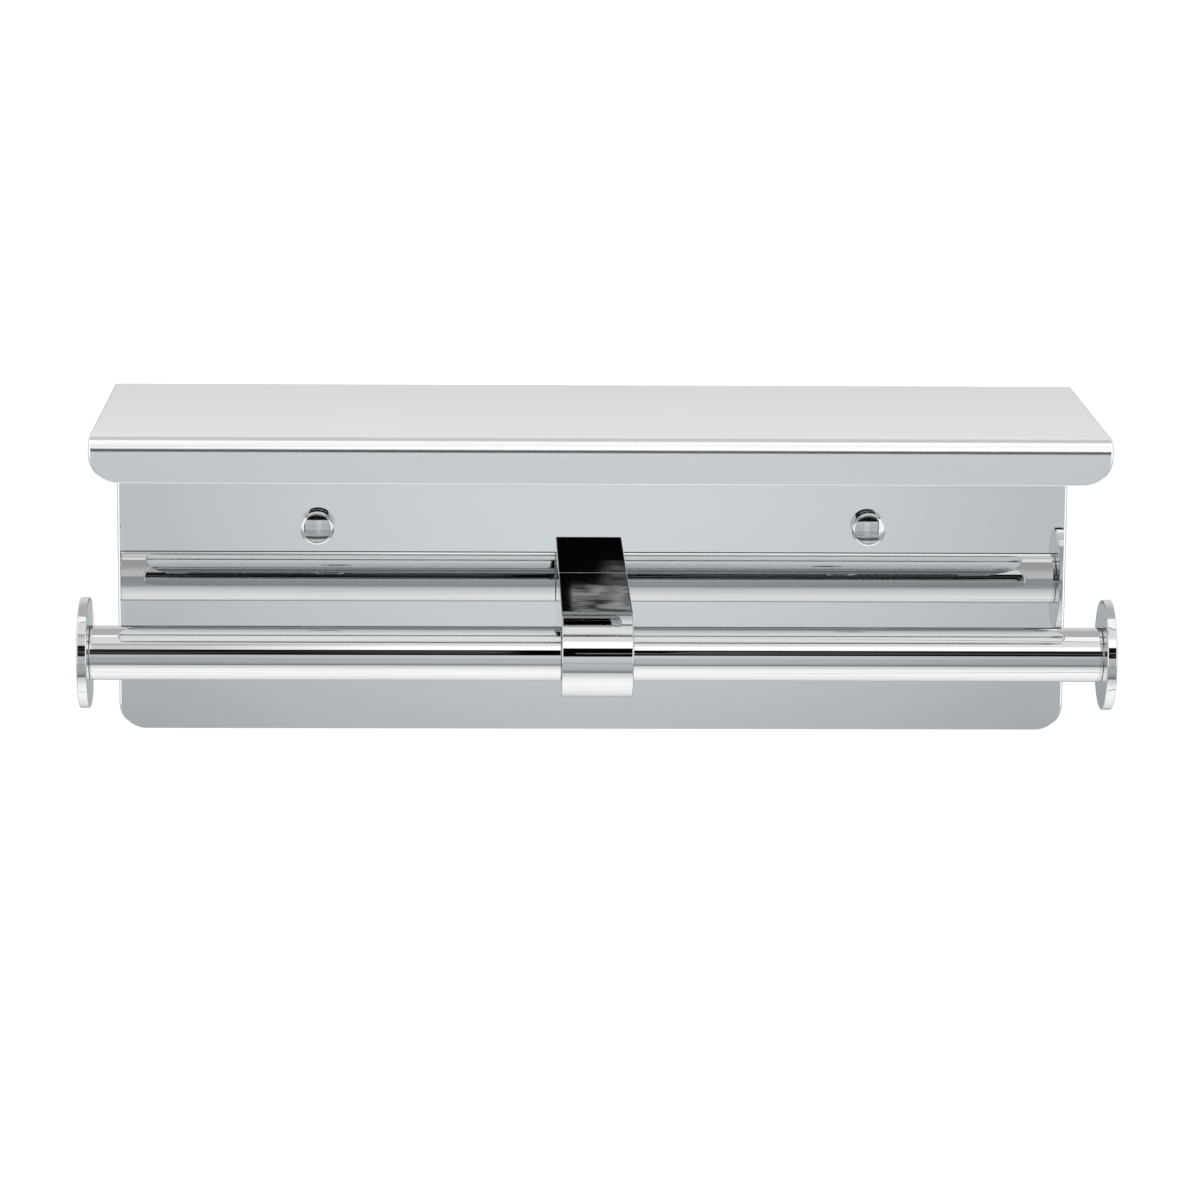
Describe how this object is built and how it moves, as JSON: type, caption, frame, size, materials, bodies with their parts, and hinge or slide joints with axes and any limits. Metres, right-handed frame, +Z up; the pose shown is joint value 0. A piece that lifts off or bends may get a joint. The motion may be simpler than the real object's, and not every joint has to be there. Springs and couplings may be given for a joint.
{
  "type": "double toilet roll holder with shelf",
  "caption": "Wall-mounted folded steel shelf with a round bar on each side of a central arm, end discs, and domed press-on screw covers.",
  "frame": {"origin": "midway between the two wall fixings, on the wall plane", "axes": "+Z up, +X along the bars, +Y into the wall, so the front faces -Y"},
  "size_m": [0.303, 0.142, 0.1073],
  "materials": {
    "polished_sheet": "polished",
    "arm_chrome": "mirror",
    "bar_chrome": "mirror",
    "cap_chrome": "mirror",
    "zinc_screw": "zinc plated",
    "turned_brass": "turned",
    "nylon_washer": "moulded"
  },
  "bodies": {
    "rack": {"panel": "polished_sheet", "support_arm": "arm_chrome", "upper_arm_screw": "zinc_screw", "lower_arm_screw": "zinc_screw", "tie_stud": "zinc_screw", "left_rod": "bar_chrome", "right_rod": "bar_chrome", "left_inner_insert": "turned_brass", "right_inner_insert": "turned_brass", "left_outer_insert": "turned_brass", "right_outer_insert": "turned_brass", "left_end_disc": "bar_chrome", "right_end_disc": "bar_chrome", "left_disc_stud": "zinc_screw", "right_disc_stud": "zinc_screw", "left_cap_base": "nylon_washer", "right_cap_base": "nylon_washer", "left_wall_screw": "zinc_screw", "right_wall_screw": "zinc_screw"},
    "left_cover": {"left_cap": "cap_chrome"},
    "right_cover": {"right_cap": "cap_chrome"}
  },
  "joints": [
    {"name": "left_cover_pull", "type": "slide", "parent": "rack", "child": "left_cover", "axis": [0, -1, 0], "range_m": [0, 0.012]},
    {"name": "right_cover_pull", "type": "slide", "parent": "rack", "child": "right_cover", "axis": [0, -1, 0], "range_m": [0, 0.012]}
  ]
}
